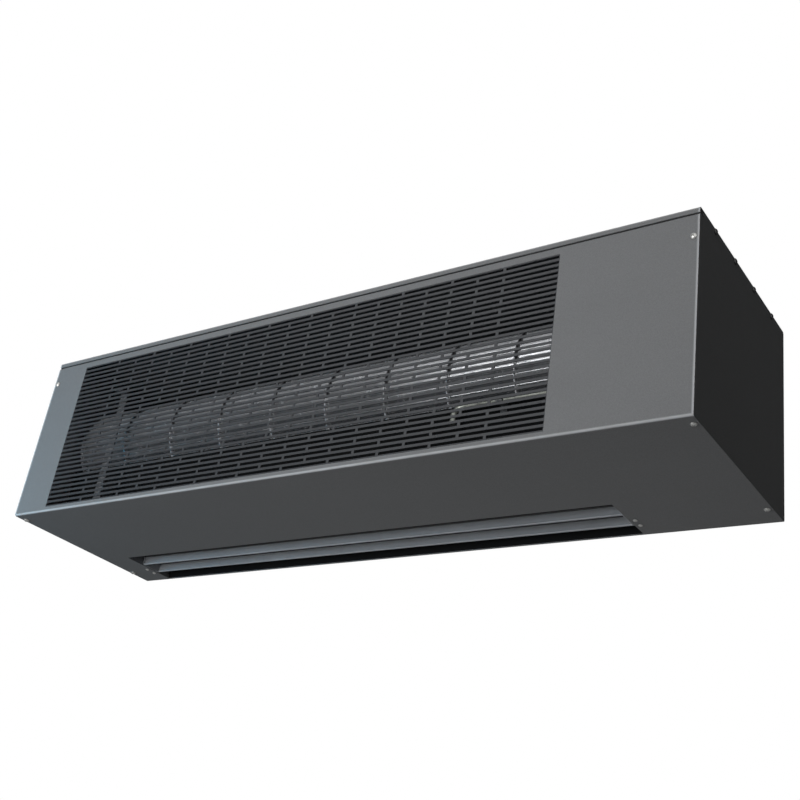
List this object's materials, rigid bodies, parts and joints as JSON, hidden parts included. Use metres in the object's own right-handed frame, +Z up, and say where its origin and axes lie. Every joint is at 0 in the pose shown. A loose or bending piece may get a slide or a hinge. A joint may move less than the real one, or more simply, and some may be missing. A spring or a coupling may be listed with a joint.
{
  "type": "air curtain",
  "caption": "Over-door air curtain: folded sheet casing with a punched front grille, a cross-flow fan in its scroll and a tilting outlet louvre along the bottom.",
  "frame": {"origin": "centre of the flat wall face of the back panel", "axes": "+X along the casing to the right as seen from the front, +Y into the wall, -Y out of the intake grille, +Z up"},
  "size_m": [1.0758, 0.2929, 0.2704],
  "materials": {
    "casing_paint": "fine satin powder coat, dark grey with a slight metallic tone",
    "plated_steel": "bright zinc plating",
    "black_steel": "black oxide",
    "zinc_sheet": "galvanised sheet, dull spangle",
    "duct_paint": "matte black coat on the air path sheets",
    "wheel_aluminium": "plain rolled aluminium",
    "louvre_aluminium": "satin",
    "bright_steel": "bright drawn tube",
    "sintered_bronze": "oil-filled sintered bronze",
    "black_rubber": "matte",
    "motor_paint": "satin black",
    "pale_plastic": "moulded",
    "dark_plastic": "moulded"
  },
  "bodies": {
    "casing": {"back_top_panel": "casing_paint", "front_cover": "casing_paint", "intake_grille": "casing_paint", "end_panel_left": "casing_paint", "end_panel_right": "casing_paint", "end_panel_screws": "plated_steel", "fan_plate_left": "zinc_sheet", "fan_plate_right": "zinc_sheet", "scroll_sheet": "duct_paint", "cutoff_sheet": "duct_paint", "front_stay": "zinc_sheet", "bearing_bush": "sintered_bronze", "bearing_rubber_ring": "black_rubber", "bearing_housing": "zinc_sheet", "bearing_screws": "plated_steel", "motor_body": "motor_paint", "motor_end_bell": "motor_paint", "motor_through_bolts": "plated_steel", "motor_plate": "zinc_sheet", "motor_buffers": "black_rubber", "motor_plate_screws": "plated_steel", "electrics_plate": "zinc_sheet", "terminal_block": "pale_plastic", "terminal_screws": "plated_steel", "run_capacitor": "pale_plastic", "capacitor_clip": "zinc_sheet", "control_relay": "dark_plastic", "cable_grommet": "black_rubber", "sensor_tube": "bright_steel", "sensor_clip": "dark_plastic", "louvre_bracket_left": "zinc_sheet", "louvre_bracket_right": "zinc_sheet", "louvre_bushes": "pale_plastic", "louvre_bracket_screws": "plated_steel"},
    "impeller": {"cross_flow_wheel": "wheel_aluminium", "left_hub": "zinc_sheet", "left_stub_shaft": "plated_steel", "right_hub_plate": "zinc_sheet", "hub_rubber": "black_rubber", "drive_boss": "plated_steel", "drive_boss_screw": "black_steel", "motor_shaft": "plated_steel"},
    "louvre_frame": {"louvre": "louvre_aluminium", "louvre_pins": "plated_steel"}
  },
  "joints": [
    {"name": "impeller_spin", "type": "hinge", "parent": "casing", "child": "impeller", "pos_m": [0, -0.185, 0.0005], "axis": [1, 0, 0], "continuous": true},
    {"name": "louvre_tilt", "type": "hinge", "parent": "casing", "child": "louvre_frame", "pos_m": [0, -0.0493, -0.1225], "axis": [1, 0, 0], "range_deg": [-25, 25]}
  ]
}
